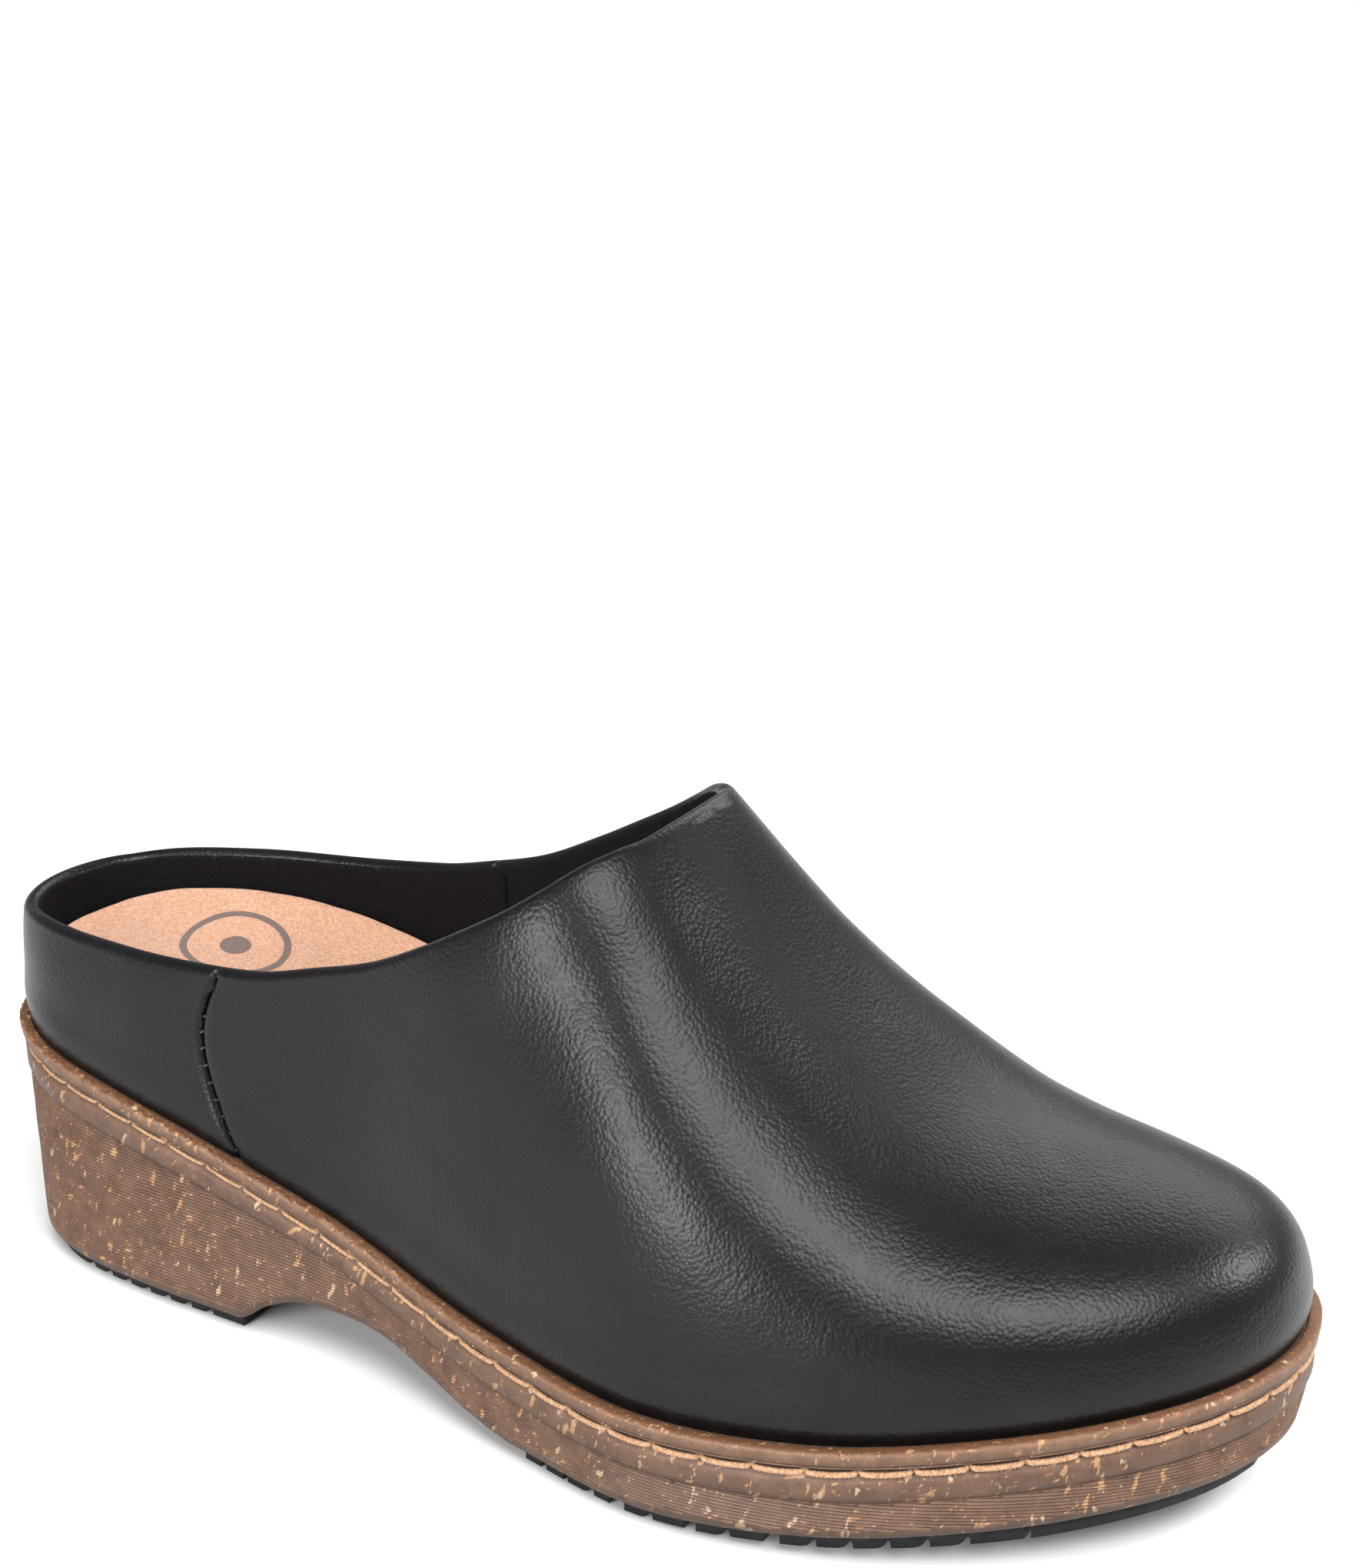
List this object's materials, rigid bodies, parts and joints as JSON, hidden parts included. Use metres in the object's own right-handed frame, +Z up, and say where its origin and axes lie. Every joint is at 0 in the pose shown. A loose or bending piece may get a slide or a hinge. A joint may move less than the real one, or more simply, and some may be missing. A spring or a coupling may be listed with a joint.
{
  "type": "clog shoe",
  "caption": "Closed-toe, open-back clog for the right foot: leather upper on a moulded wood-flecked base with rubber treads.",
  "frame": {"origin": "centre of the bounding box in plan, on the ground plane under the treads", "axes": "+X from heel to toe, +Y towards the inner (medial) side of the right foot, +Z up"},
  "size_m": [0.2772, 0.1084, 0.1175],
  "materials": {
    "composite": "moulded wood-flecked composite, matt",
    "tread_rubber": "black moulded rubber, matt",
    "shank_steel": "plain spring steel strip",
    "cork_filler": "pressed cork",
    "board": "fibre board",
    "welt_composite": "moulded wood-flecked composite with a rough edge",
    "welt_thread": "thick twisted waxed thread",
    "footbed_cork": "moulded cork",
    "foam": "soft foam sheet",
    "footbed_nap": "microfibre nap",
    "upper_leather": "black leather, fine grain, semi-gloss",
    "stiffener": "thermoplastic stiffener sheet",
    "lining": "black microfibre lining",
    "tape": "woven backing tape",
    "black_thread": "black sewing thread"
  },
  "bodies": {
    "root": {"clog_sole": "composite", "heel_tread": "tread_rubber", "ball_tread": "tread_rubber", "toe_tread": "tread_rubber", "shank": "shank_steel", "bottom_filler": "cork_filler", "insole_board": "board", "welt": "welt_composite", "welt_stitching": "welt_thread", "footbed_core": "footbed_cork", "footbed_foam": "foam", "footbed_cover": "footbed_nap", "vamp": "upper_leather", "quarter": "upper_leather", "toe_puff": "stiffener", "heel_counter": "stiffener", "vamp_lining": "lining", "quarter_lining": "lining", "topline_roll": "upper_leather", "seam_tape_outer": "tape", "seam_tape_inner": "tape", "seam_stitching": "black_thread"}
  },
  "joints": []
}
